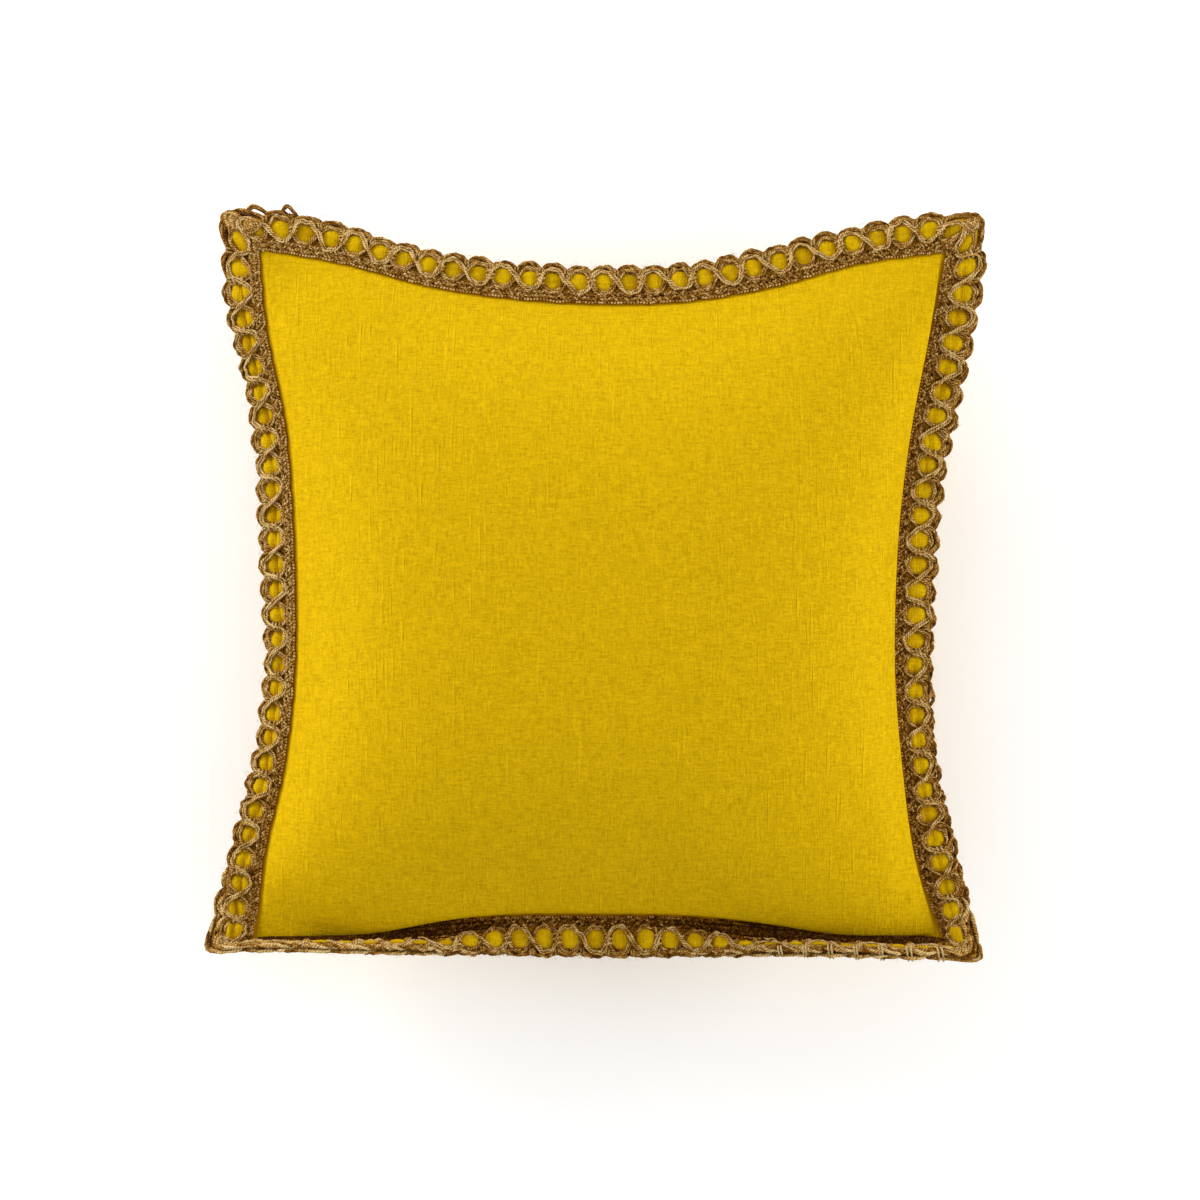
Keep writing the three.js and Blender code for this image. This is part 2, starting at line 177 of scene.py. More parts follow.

# Painted shade on the jute of each side, clockwise from the top: the sides away from the light are
# painted darker between the yarns, and the left, towards the light, lighter
PAINTED_SIDE_SHADE = (0.06, 0.18, 0.40, -0.10)

# Jute from the painted shade at the bottom of its grooves to its palest fibres
JUTE_TONES = (
    (0.0, (0.030, 0.009, 0.001)),
    (0.35, (0.22, 0.083, 0.007)),
    (0.65, (0.48, 0.25, 0.048)),
    (1.0, (0.76, 0.56, 0.25)),
)
CLOTH_YELLOW = (0.665, 0.402, 0.0022)
# Factors of that yellow in its darker and paler threads, and for the painted shade deep in the border's
# folds
CLOTH_SHADES = ((0.74, 0.74, 0.74), (1.22, 1.26, 1.5), (0.5, 0.30, 0.3))
PLY_LENGTH = 0.0034  # in metres, as the twine's two plies wind once round
THREAD_PITCH = 0.0011  # in metres, two threads of the cloth

chance = np.random.RandomState(29)


# The lines round the cushion

def every(steps):
    """Places round the whole ring, counted in cells, so many to a cell."""
    return np.arange(ROUND * steps) / steps


def full_turn(count):
    """The angles of so many points round a loop."""
    return np.arange(count) / count * TURN


def unit(vectors):
    return vectors / np.linalg.norm(vectors, axis=-1, keepdims=True)


def through_rows(values, at):
    """A smooth curve through a side's table, whose slope at a row is that of its neighbours."""
    shares, values = np.array(ALONG), np.array(values, float)
    secants = np.diff(values) / np.diff(shares)
    slopes = np.concatenate([secants[:1], (secants[1:] + secants[:-1]) / 2, secants[-1:]])
    row = np.clip(np.searchsorted(shares, at, side="right") - 1, 0, len(shares) - 2)
    width = shares[row + 1] - shares[row]
    p = (at - shares[row]) / width
    start = (1 + 2 * p) * (1 - p) ** 2 * values[row] + p * (1 - p) ** 2 * width * slopes[row]
    end = p * p * (3 - 2 * p) * values[row + 1] - p * p * (1 - p) * width * slopes[row + 1]
    return start + end


class DrawnInLine:
    """A line from corner to corner, drawn in as a side's table says."""

    def __init__(self, start, end, inset, level):
        at = np.linspace(0, 1, 401)
        start, end = np.array(start, float), np.array(end, float)
        chord = unit(end - start)
        flat = start + at[:, None] * (end - start)
        flat = flat + through_rows(inset, at)[:, None] * np.array([chord[1], -chord[0]])
        self.points = np.column_stack([flat, through_rows(level, at)])
        steps = np.linalg.norm(np.diff(self.points, axis=0), axis=1)
        self.travel = np.concatenate([[0], np.cumsum(steps)])
        self.length = self.travel[-1]

    def at(self, share):
        return np.array([np.interp(share * self.length, self.travel, c) for c in self.points.T]).T


def share_at(k, length, even_length):
    """The share of a line's length where cell line k stands: even repeats, eased at the corners."""
    from_middle = k / CELLS - 0.5
    easing = CORNER_CELLS / CELLS
    eased = np.maximum(0, (np.abs(from_middle) - 0.5 + easing) / easing) ** 2
    spare = (length - even_length) / 2
    distance = from_middle * even_length + np.sign(from_middle) * spare * eased
    return np.clip(0.5 + distance / length, 0, 1)


def back_reach(lift):
    """How far the back's border reaches in from an outer line of this lift."""
    rise = np.minimum(np.array(lift) + PANEL_LEVEL, BACK_BORDER)
    return np.maximum(TUCKED_BORDER, np.sqrt(BACK_BORDER ** 2 - rise ** 2))


def ring_lines():
    """Where each line crosses each cell line of the ring, and the shares along the panel's sides."""
    ring = {"outer": [], "panel": [], "back": [], "share": []}
    k = np.arange(CELLS)
    for number, side in enumerate(SIDES.values()):
        first, last = CORNERS[number], CORNERS[(number + 1) % 4]
        level = np.full(len(ALONG), PANEL_LEVEL)
        outer = DrawnInLine(first["outer"], last["outer"], side["outer"], side["lift"])
        panel = DrawnInLine(first["panel"], last["panel"], side["panel"], level)
        reach = back_reach(side["lift"])
        start = np.array(first["outer"]) + reach[0] * np.array(first["inwards"])
        end = np.array(last["outer"]) + reach[-1] * np.array(last["inwards"])
        straight = reach[0] + np.array(ALONG) * (reach[-1] - reach[0])
        back = DrawnInLine(start, end, np.array(side["outer"]) + reach - straight, -level)
        even_length = (outer.length + panel.length) / 2
        for name, line in (("outer", outer), ("panel", panel), ("back", back)):
            ring[name].append(line.at(share_at(k, line.length, even_length)))
        ring["share"].append(share_at(k, panel.length, even_length))
    return {name: np.concatenate(rows) for name, rows in ring.items()}


def facing_of(inner, outer):
    """Which way the cloth between two lines faces at each cell line."""
    along = np.roll(inner, -1, 0) - np.roll(inner, 1, 0) + np.roll(outer, -1, 0) - np.roll(outer, 1, 0)
    return unit(np.cross(along, outer - inner))


def cell_lean(inner, outer):
    """How many cells the outer line is ahead of the inner one, which the repeats make up for."""
    along = np.roll(inner, -1, 0) - np.roll(inner, 1, 0) + np.roll(outer, -1, 0) - np.roll(outer, 1, 0)
    ahead = ((outer - inner) * unit(along)).sum(1)
    from_corner = np.minimum(np.arange(len(inner)) % CELLS, -np.arange(len(inner)) % CELLS)
    return 4 * ahead / np.linalg.norm(along, axis=1) * (1 - np.exp(-((from_corner / 2.2) ** 2)))


def finish_ring(ring):
    """Adds the two cloths' edges, the seam between them and the way each border faces."""
    outer = ring["outer"]
    along = unit(np.roll(outer, -1, 0) - np.roll(outer, 1, 0))
    inward = unit((ring["panel"] + ring["back"]) / 2 - outer)
    facing = -unit(np.cross(along, inward))
    ring["front_edge"] = outer + facing * EDGE_THICKNESS / 2
    ring["back_edge"] = outer - facing * EDGE_THICKNESS / 2
    ring["back_inner"] = ring["back_edge"] + unit(ring["back"] - ring["back_edge"]) * BRAID_WIDTH
    ring["outward"] = -inward
    ring["turned_up"] = np.clip((outer[:, 2] - PANEL_LEVEL) / BRAID_WIDTH, 0, 1)
    ring["raised"] = np.clip(outer[:, 2] / 18, 0, 1)
    ring["front_facing"] = facing_of(ring["panel"], ring["front_edge"])
    ring["back_facing"] = -facing_of(ring["back_inner"], ring["back_edge"])
    ring["front_lean"] = cell_lean(ring["panel"], ring["front_edge"])
    ring["back_lean"] = cell_lean(ring["back_inner"], ring["back_edge"])
    return ring


def between(before, here, after, beyond, p):
    """The smooth curve from here, at p = 0, to after, at p = 1, that their neighbours set."""
    bend = 3 * (here - after) + beyond - before
    return here + p / 2 * (after - before + p * (2 * before - 5 * here + 4 * after - beyond + p * bend))


def around(values, u):
    """Values of the ring at any place u, counted in cells, on a smooth curve through them."""
    u = np.asarray(u, float)
    cell = np.floor(u).astype(int)
    p = u - cell
    if values.ndim > 1:
        p = p[..., None]
    return between(*(values[(cell + step) % len(values)] for step in (-1, 0, 1, 2)), p)


ring = finish_ring(ring_lines())


# The filled cushion

def swell(share):
    return 1 - np.abs(2 * share - 1) ** CROWN_FLATNESS


def soft_limit(depth, limit, bend):
    mix = np.clip(0.5 + 0.5 * (limit - depth) / bend, 0, 1)
    return limit + (depth - limit) * mix - bend * mix * (1 - mix)


def face_net(rim, shares, steps):
    """Fills the line round one face with a net, blended between its four drawn-in sides."""
    side = CELLS * steps
    top, right = rim[:side + 1], rim[side:2 * side + 1]
    bottom = rim[2 * side:3 * side + 1][::-1]
    left = np.concatenate([rim[3 * side:], rim[:1]])[::-1]
    a = np.append(shares[:side], 1)[None, :, None]
    b = np.append(shares[side:2 * side], 1)[:, None, None]
    net = top[None] * (1 - b) + bottom[None] * b + left[:, None] * (1 - a) + right[:, None] * a
    net = net - (top[0] * (1 - a) * (1 - b) + top[-1] * a * (1 - b))
    net = net - (bottom[0] * (1 - a) * b + bottom[-1] * a * b)
    full = (swell(a) * swell(b)).clip(0) ** CROWN_SOFTNESS
    return net, full[..., 0]


def overhang(x, y):
    """How far the filling bulges over the heading at the left, the right and the bottom."""
    low_down = np.clip((-y - 90) / 80, 0, 1)
    bottom = BOTTOM_BULGE["least"]
    for middle, reach, height in BOTTOM_BULGE["more"]:
        bottom = bottom + height * np.exp(-((x - middle) / reach) ** 2)
    on_right, on_left = (np.clip((way * x - 100) / 60, 0, 1) for way in (1, -1))
    across = SIDE_BULGES["right"] * on_right + SIDE_BULGES["left"] * on_left
    return np.stack([across, -bottom * low_down, 0 * x], -1)


def front_shape(net, full):
    shaped = net.copy()
    near_rim = full / BULGE * np.exp(1 - full / BULGE)
    shaped += overhang(net[..., 0], net[..., 1]) * near_rim[..., None]
    shaped[..., 2] += FRONT_CROWN * full
    for hollow in HOLLOWS:
        away = np.linalg.norm(net[..., :2] - hollow["at"], axis=-1) / hollow["reach"]
        shaped[..., 2] -= hollow["depth"] * np.exp(-away ** 2) * np.minimum(1, full * 6)
    return shaped


def back_shape(net, full):
    shaped = net.copy()
    shaped[..., 2] = -soft_limit(BACK_CROWN * full - net[..., 2], RESTING_DEPTH, SETTLING)
    return shaped


def round_bump(u, middle, width):
    """A smooth bump round one place of the ring, which closes on itself."""
    away = (np.asarray(u) - middle + ROUND / 2) % ROUND - ROUND / 2
    return np.exp(-(away / width) ** 2)


def at_corners(u, width, heights=(1, 1, 1, 1)):
    """A bump at each corner, clockwise from the top left."""
    return sum(height * round_bump(u, corner * CELLS, width) for corner, height in enumerate(heights))


def cloth_short(u):
    """How far the cloth's edge stops inside the outer arcs' tips."""
    raised = around(ring["raised"], u)
    return ARC_OVERHANG + DAYLIGHT["short"] * daylight(u) + 2.6 * raised + 4.2 * at_corners(u, 1.0)


def daylight(u):
    """1 where the cloth stops short at the top edge, and 0 elsewhere."""
    return from_to(np.asarray(u) / CELLS, DAYLIGHT["start"], DAYLIGHT["end"], DAYLIGHT["ramp"])


def cloth_seam(u):
    """The line of the seam between the two cloths, and which way is outwards there."""
    short = (cloth_short(u) / BRAID_WIDTH)[:, None]
    rims = []
    for face, cloth in FACES.items():
        edge = around(ring[face + "_edge"], u)
        rims.append(edge + (around(ring[cloth["inner"]], u) - edge) * short)
    return (rims[0] + rims[1]) / 2, unit(around(ring["outward"], u))


def two_puffs(u):
    """1 where the border's cloth shows as two puffs with the seam between them, 0 where as one."""
    place = np.asarray(u) / CELLS
    left = (place > 2.95) & (place < 3.93)
    right = (place > 1.05) & (place < 1.35) | (place > 1.6) & (place < 1.97)
    return np.where(left, 1.0, np.where(right, 0.55, 0.12))


def border_puff(u, across, tilt):
    """Height of the border's cloth, which puffs up through each eyelet."""
    cell = np.floor(u)
    lean = 0.05 * np.sin(cell * 2.4 + tilt)
    x = (u - cell - 0.5 - lean) / PUFF["half_length"]
    y = (across - eyelet_middle(u)) / (eyelet_half(u) + 0.4)
    dome = np.clip(1 - np.abs(x) ** 2.4 - np.abs(y) ** 2.4, 0, 1) ** 0.55
    uneven = 1 + 0.2 * np.sin(cell * 1.9 + tilt) + 0.1 * np.sin(cell * 5.3)
    middle = eyelet_middle(u) - 0.6 + 0.9 * np.sin(cell * 0.8 + tilt) + 1.2 * (x * np.cos(cell))
    groove = np.exp(-((across - middle) / PUFF["groove_width"]) ** 2) * two_puffs(u)
    return dome * (PUFF["height"] * uneven - PUFF["groove"] * groove)


def eyelet_half(u):
    """Half an eyelet's size across the braid, smaller beside the corners and where turned up."""
    flat, turned_up = EYELET["half"], EYELET["turned_up"]["half"]
    half = flat + (turned_up - flat) * turned_to_front(u)
    return half * (1 - 0.27 * at_corners(u, 0.9))


def eyelet_middle(u):
    flat, turned_up = EYELET["across"], EYELET["turned_up"]["across"]
    return flat + (turned_up - flat) * turned_to_front(u) - 1.5 * at_corners(u, 0.9)


def turned_to_front(u):
    """1 where the bottom border is turned up so far that its edge faces the front, else 0."""
    on_bottom = from_to(u, 2 * CELLS + 0.5, 3 * CELLS - 0.5, 1)
    return np.clip(around(ring["raised"], u) * 1.6 - 0.6, 0, 1) * on_bottom


def ramp(u, middle, width):
    """From 0 to 1, over about this width."""
    return 1 / (1 + np.exp(-4 * (np.asarray(u) - middle) / width))


def from_to(u, start, end, width):
    """1 from start to end, and 0 elsewhere, with ramps between them."""
    return ramp(u, start, width) * (1 - ramp(u, end, width))


def border_rows(steps, fine):
    """Rows of points from the front panel's line over the edge to the back panel's line.

    Each row has painted shade from 0 to 1 on its cloth: most where it lies low round the braid's
    eyelets and in the groove between their puffs, full on the rounded edge, none on the panels' lines.
    """
    u = every(steps)
    short = cloth_short(u)[:, None] / BRAID_WIDTH
    outward = unit(around(ring["outward"], u)) * EDGE_ROUNDING
    rims, rows = {}, {}
    for face, cloth in FACES.items():
        reach, edge = around(ring[cloth["inner"]], u), around(ring[face + "_edge"], u)
        facing = unit(around(ring[face + "_facing"], u))
        rims[face] = edge + (reach - edge) * short
        rows[face] = []
        for share in np.linspace(0, 1, BORDER_ROWS if fine else 3):
            at = (u + cloth["lag"] + around(ring[face + "_lean"], u) * (share - 0.5)) % ROUND
            puff = border_puff(at, (1 - short[:, 0]) * BRAID_WIDTH * share, cloth["tilt"]) * fine
            # Painted shade on the border's cloth: full where it lies low in an eyelet, none where it
            # puffs up to the lit height
            hollow_shade = (1 - np.clip(puff / PUFF["lit"], 0, 1)) * (share > 0)
            row = reach + (rims[face] - reach) * share + facing * puff[:, None] * cloth["puff"]
            rows[face].append((row, hollow_shade))
    seam = (rims["front"] + rims["back"]) / 2
    edge_rows = [seam + outward * (0.8 if fine else 1)]
    if fine:
        shoulders = [seam * 0.3 + rims[face] * 0.7 + outward * 0.7 for face in FACES]
        edge_rows = [shoulders[0], *edge_rows, shoulders[1]]
    return rows["front"] + [(row, 0 * u + 1) for row in edge_rows] + rows["back"][::-1]


def net_faces(numbers, flipped):
    corner, next_, far_next, far = numbers[:-1, :-1], numbers[:-1, 1:], numbers[1:, 1:], numbers[1:, :-1]
    quads = np.stack([corner, far, far_next, next_], -1).reshape(-1, 4)
    return quads[:, ::-1] if flipped else quads


def cushion_mesh(steps, fine, push=None):
    """Points, quads, nets and painted hollow shade of the closed cushion. push moves the nets' points.
    """
    rows, hollow_shades = zip(*border_rows(steps, fine))
    around_count = ROUND * steps
    points = np.concatenate(rows)
    quads = []
    for row in range(len(rows) - 1):
        inner = row * around_count + np.arange(around_count)
        outer = inner + around_count
        quads.append(np.stack([inner, np.roll(inner, -1), np.roll(outer, -1), outer], -1))
    shares = share_round(every(steps))
    side = CELLS * steps
    nets = []
    for face, rim_row, shape in (("front", 0, front_shape), ("back", len(rows) - 1, back_shape)):
        net, full = face_net(rows[rim_row], shares, steps)
        shaped = shape(net, full)
        if push is not None:
            shaped = shaped + push[face]
        numbers = np.full((side + 1, side + 1), -1)
        base = rim_row * around_count
        along = np.arange(side + 1)
        numbers[0, :] = base + along
        numbers[:, -1] = base + side + along
        numbers[-1, :] = base + 3 * side - along
        numbers[:, 0] = base + (4 * side - along) % (4 * side)
        inside = numbers < 0
        numbers[inside] = len(points) + np.arange(inside.sum())
        points = np.concatenate([points, shaped[inside]])
        quads.append(net_faces(numbers, face == "back"))
        nets.append(numbers)
    hollow_shades = np.pad(np.concatenate(hollow_shades), (0, len(points) - len(rows) * around_count))
    return points, np.concatenate(quads), nets, hollow_shades


def share_round(u):
    """The share along the panel's side at each place of the ring."""
    side = np.floor(u / CELLS).astype(int)
    own = ring["share"].reshape(4, CELLS)
    padded = np.concatenate([own, np.ones((4, 1))], 1)
    within = u - side * CELLS
    cell = np.clip(np.floor(within).astype(int), 0, CELLS - 1)
    part = within - cell
    return padded[side, cell] * (1 - part) + padded[side, cell + 1] * part


# The source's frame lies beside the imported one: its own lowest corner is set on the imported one
seam_row = border_rows(1, False)[3][0]
cushion_low = np.array(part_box("cushion")[0])
ROW_SHIFT = np.array([*(cushion_low[:2] / MM - seam_row[:, :2].min(0)), RESTING_DEPTH])


def to_row(points):
    return (np.asarray(points) + ROW_SHIFT) * MM


def in_scene(name, data):
    """An object of this data, put in the scene."""
    made = bpy.data.objects.new(name, data)
    bpy.context.scene.collection.objects.link(made)
    return made


def new_mesh(name, points, faces=(), edges=()):
    mesh = bpy.data.meshes.new(name)
    mesh.from_pydata(to_row(points).tolist(), [tuple(e) for e in edges], [tuple(f) for f in faces])
    return in_scene(name, mesh)


def evaluated_points(piece):
    graph = bpy.context.evaluated_depsgraph_get()
    shown = piece.evaluated_get(graph).to_mesh()
    points = np.empty(len(shown.vertices) * 3)
    shown.vertices.foreach_get("co", points)
    piece.evaluated_get(graph).to_mesh_clear()
    return points.reshape(-1, 3)


def filled_cloth():
    """Fills the cover by simulation: how far each point of the coarse nets moves."""
    points, quads, nets, _ = cushion_mesh(SIM_STEPS, False)
    cover = new_mesh("cover_being_filled", points, quads)
    held = cover.vertex_groups.new(name="held")
    free = np.zeros(len(points), bool)
    for numbers in nets:
        free[numbers[1:-1, 1:-1].ravel()] = True
    held.add(np.flatnonzero(~free).tolist(), 1.0, "REPLACE")
    cloth = cover.modifiers.new("filling", "CLOTH")
    for name, value in CLOTH_SETTINGS.items():
        setattr(cloth.settings, name, value)
    cloth.settings.effector_weights.gravity = 0
    cloth.collision_settings.use_collision = False
    cloth.point_cache.frame_start, cloth.point_cache.frame_end = 1, SIM_FRAMES
    for number in range(1, SIM_FRAMES + 1):
        bpy.context.scene.frame_set(number)
    moved = evaluated_points(cover) / MM - ROW_SHIFT - points
    bpy.context.scene.frame_set(1)
    bpy.data.objects.remove(cover)
    return {face: smoothed(moved[numbers]) for face, numbers in zip(FACES, nets)}


def smoothed(moves):
    """Takes the small ripples out of the filled cloth's moves, and leaves its rim alone."""
    for _ in range(SMOOTHING_PASSES):
        spread = np.pad(moves, ((1, 1), (1, 1), (0, 0)), mode="edge")
        rows = (spread[:-2] + 2 * spread[1:-1] + spread[2:]) / 4
        mean = (rows[:, :-2] + 2 * rows[:, 1:-1] + rows[:, 2:]) / 4
        moves = moves.copy()
        moves[1:-1, 1:-1] = mean[1:-1, 1:-1]
    return moves


def upsampled(grid):
    """The simulated net's values on the finished cloth's net, with smooth curves between them."""
    size = CELLS * SIM_STEPS
    at = np.linspace(0, size, CELLS * PANEL_STEPS + 1)
    cell = np.minimum(np.floor(at).astype(int), size - 1)
    p = (at - cell)[:, None, None]

    def along_first(values):
        return between(*(values[np.clip(cell + step, 0, size)] for step in (-1, 0, 1, 2)), p)

    return along_first(along_first(grid).swapaxes(0, 1)).swapaxes(0, 1)


def capped(moves, most):
    size = np.linalg.norm(moves, axis=-1, keepdims=True)
    return moves * (most * np.tanh(size / most) / np.maximum(size, 1e-9))


filling = None
filling = {face: upsampled(capped(moves, FILLING_CAP)) for face, moves in filled_cloth().items()}

cushion_points, cushion_quads, _, painted_hollow_shades = cushion_mesh(PANEL_STEPS, True, filling)

# The back lies flat on what it rests on
cushion_points[:, 2] = np.maximum(cushion_points[:, 2], -RESTING_DEPTH)

cushion = new_mesh("cushion_cover", cushion_points, cushion_quads)
cushion.data.shade_smooth()
# The painted hollow shade goes to the cloth's material as its border attribute
cushion.data.attributes.new("border", "FLOAT", "POINT").data.foreach_set("value", painted_hollow_shades)


# The jute braids

class Border:
    """The band that one face's braid lies on, and how its repeats are set along it.

    pressed says how much lower the yarns lie where the edge is raised, and the last argument how much
    painted shade darkens the heading where the border is turned up.
    """

    def __init__(self, face, drift, stand_out, pressed, painted_recess_shade):
        self.inner, self.outer = ring[FACES[face]["inner"]], ring[face + "_edge"]
        self.facing, self.lean = ring[face + "_facing"], ring[face + "_lean"]
        self.is_front = face == "front"
        self.drift, self.stand_out, self.pressed, self.painted_recess_shade = drift, stand_out, pressed, painted_recess_shade

    def up(self, u):
        return unit(around(self.facing, u + self.drift(u)))

    def place(self, u, across, rise):
        """A point of the braid: along in cells, across from the heading's edge, and height."""
        u, across, rise = np.broadcast_arrays(*(np.asarray(v, float) for v in (u, across, rise)))
        at = u + self.drift(u)
        half_lean = around(self.lean, at) / 2
        inner, outer = around(self.inner, at + half_lean), around(self.outer, at - half_lean)
        stretch = np.clip((across - 12) / 13, 0, None) * self.stand_out(u)
        eased = 1 - at_corners(u, 0.75, CORNER_EASE)
        cut = at_corners(u, 0.55, CORNER_CUTS) * np.clip(1 - across / 12, 0, 1)
        reach = np.minimum(across, 5) + np.maximum(across - 5, 0) * eased + stretch - cut
        point = inner + (outer - inner) * (reach / BRAID_WIDTH)[..., None]
        height = rise * (1 - self.pressed * around(ring["raised"], at)) + 0.25 * cut
        return point + self.up(u) * height[..., None]


def no_drift(u):
    return np.zeros_like(u)


def back_drift(u):
    """The back braid's repeats run out of step with the front's down the right side and back."""
    return 0.5 * round_bump(u, 56, 9) + 0.3 * round_bump(u, 0.5, 2)


def back_stand_out(u):
    """Where the back braid's outer arcs stand out past the front's, in millimetres."""
    arcs = np.abs(np.sin(np.pi * u))
    at_top_left = 7.5 * arcs ** 2.5 * round_bump(u, 0.9, 0.95)
    at_top_right = -3.5 * round_bump(u, CELLS, 0.8)
    down_right = 1.5 * arcs ** 1.5 * round_bump(u, 37, 6) + 0.8 * round_bump(u, 42, 6)
    return at_top_left + at_top_right + down_right + 1.9 * round_bump(u, 51, 3)


def front_stand_out(u):
    """The front's outer arcs are uneven, and reach further at the left and the bottom."""
    uneven = 0.45 * np.sin(u * 1.7) + 0.4 * np.sin(u * 0.61 + 1)
    return uneven + 1.3 * round_bump(u, 103, 9) + 0.9 * round_bump(u, 72, 8)


# The last argument darkens each heading with painted shade where the bottom border is turned up: much on
# the front, a little on the back
front_border = Border("front", no_drift, front_stand_out, pressed=0.5, painted_recess_shade=1.7)
back_border = Border("back", back_drift, back_stand_out, pressed=0.75, painted_recess_shade=0.2)


def unevenness(u, slow, fast):
    """Smooth random values round the whole ring, with waves of so many cells' length."""
    turns = chance.randint(ROUND / slow, ROUND / fast, 5)
    starts = chance.uniform(0, 2 * np.pi, 5)
    return sum(np.sin(TURN * n * u / ROUND + start) for n, start in zip(turns, starts)) / 1.6


def painted_side_shade(u):
    """The painted shade of the side at each place of the ring, eased from side to side."""
    along = (np.asarray(u) / CELLS) % 4
    first = np.floor(along).astype(int) % 4
    share = np.clip((along % 1 - 0.5) * 4, -1, 1)
    own, before, after = (np.array(PAINTED_SIDE_SHADE)[(first + step) % 4] for step in (0, -1, 1))
    return own + (np.where(share > 0, after, before) - own) * share ** 4 / 2


class Yarns:
    """Yarns that one piece is made of: their points, thickness and tone, where the tone holds painted
    shade as well as the jute's own uneven colour.
    """

    def __init__(self):
        self.points, self.edges, self.radius, self.tone = [], [], [], []
        self.count = 0

    def add(self, points, radius, tone=0.5, closed=True):
        number = len(points)
        index = self.count + np.arange(number)
        links = np.stack([index, np.roll(index, -1)], -1)
        self.edges.append(links if closed else links[:-1])
        self.points.append(points)
        self.radius.append(np.broadcast_to(radius, number))
        self.tone.append(np.broadcast_to(tone, number))
        self.count += number

    def piece(self, name, tree, sides):
        """A finished mesh of tubes along the yarns, made by the yarn tree."""
        source = new_mesh(name, np.concatenate(self.points), edges=np.concatenate(self.edges).tolist())
        for attribute, values in (("thickness", self.radius), ("tone", self.tone)):
            data = source.data.attributes.new(attribute, "FLOAT", "POINT").data
            scale = MM if attribute == "thickness" else 1
            data.foreach_set("value", np.concatenate(values) * scale)
        spun = source.modifiers.new("yarn", "NODES")
        spun.node_group = tree
        spun[tree.interface.items_tree["Sides"].identifier] = sides
        graph = bpy.context.evaluated_depsgraph_get()
        mesh = bpy.data.meshes.new_from_object(source.evaluated_get(graph))
        mesh.name = name
        bpy.data.objects.remove(source)
        return in_scene(name, mesh)


def node(tree, kind, inputs=(), **settings):
    """A new node with its settings, and with each input set or linked."""
    made = tree.nodes.new(kind)
    for name, value in settings.items():
        setattr(made, name, value)
    for socket, value in dict(inputs).items():
        if isinstance(value, bpy.types.NodeSocket):
            tree.links.new(value, made.inputs[socket])
        else:
            made.inputs[socket].default_value = value
    return made


def yarn_tree(material):
    """Spins a tube along each line, with the place along and round it kept for the ply pattern."""
    tree = bpy.data.node_groups.new("yarn", "GeometryNodeTree")
    tree.interface.new_socket("Lines", in_out="INPUT", socket_type="NodeSocketGeometry")
    tree.interface.new_socket("Sides", in_out="INPUT", socket_type="NodeSocketInt").default_value = 6
    tree.interface.new_socket("Yarns", in_out="OUTPUT", socket_type="NodeSocketGeometry")
    given = node(tree, "NodeGroupInput")
    curve = node(tree, "GeometryNodeMeshToCurve", {"Mesh": given.outputs["Lines"]})
    spline = node(tree, "GeometryNodeSplineParameter")
    along = node(
        tree, "GeometryNodeStoreNamedAttribute",
        {"Geometry": curve.outputs["Curve"], "Name": "along", "Value": spline.outputs["Length"]},
        data_type="FLOAT", domain="POINT",
    )
    circle = node(
        tree, "GeometryNodeCurvePrimitiveCircle", {"Radius": 1, "Resolution": given.outputs["Sides"]}
    )
    place = node(tree, "GeometryNodeInputPosition")
    round_ = node(
        tree, "GeometryNodeStoreNamedAttribute",
        {"Geometry": circle.outputs["Curve"], "Name": "round", "Value": place.outputs["Position"]},
        data_type="FLOAT_VECTOR", domain="POINT",
    )
    thickness = node(tree, "GeometryNodeInputNamedAttribute", {"Name": "thickness"}, data_type="FLOAT")
    tube = node(
        tree, "GeometryNodeCurveToMesh",
        {
            "Curve": along.outputs["Geometry"],
            "Profile Curve": round_.outputs["Geometry"],
            "Scale": thickness.outputs["Attribute"],
            "Fill Caps": True,
        },
    )
    realize = node(tree, "GeometryNodeRealizeInstances", {"Geometry": tube.outputs["Mesh"]})
    finish = node(
        tree, "GeometryNodeSetMaterial",
        {"Geometry": realize.outputs["Geometry"], "Material": material},
    )
    node(tree, "NodeGroupOutput", {"Yarns": finish.outputs["Geometry"]})
    return tree


def strand_keys(strand):
    """One strand of the figure-of-eight round the whole border, as (u, across, rise) keys.

    The strand that lies on top goes in along the long diagonals and out again at the ties.
    """
    keys = []
    top, low = strand["top"], strand["low"]
    sloping = (top + low) / 2 + 0.2
    for cell in range(ROUND):
        before, after = ("diagonal", "tie") if cell % 2 else ("tie", "diagonal")
        near, far = strand[before], strand[after]
        inside = -strand["way"] if cell % 2 else strand["way"]
        middle = eyelet_middle(cell + 0.5)
        jitter = chance.normal(0, 1, 6)
        reach = inside * eyelet_half(cell + 0.5) * (1 + 0.055 * jitter[0])
        keys += [
            (cell + 0.022 * jitter[2], eyelet_middle(cell) + 0.6 * jitter[3], top),
            (cell + near[0], middle + reach * 0.56, sloping),
            (cell + near[1], middle + reach * 0.95, low),
            (cell + 0.5 + 0.03 * jitter[1], middle + reach + inside * 0.25, low + 0.2 * jitter[4]),
            (cell + 1 - far[1], middle + reach * 0.95, low),
            (cell + 1 - far[0], middle + reach * 0.56, sloping),
        ]
    return np.array(keys)


def closed_line(keys, per_span):
    """A smooth closed line through keys of (u, across, rise), with u running on past the end."""
    at = np.arange(len(keys) * per_span) / per_span
    cell = np.floor(at).astype(int)
    round_key = []
    for step in (-1, 0, 1, 2):
        rounds, number = np.divmod(cell + step, len(keys))
        round_key.append(keys[number] + rounds[:, None] * np.array([ROUND, 0, 0]))
    return between(*round_key, (at - cell)[:, None])


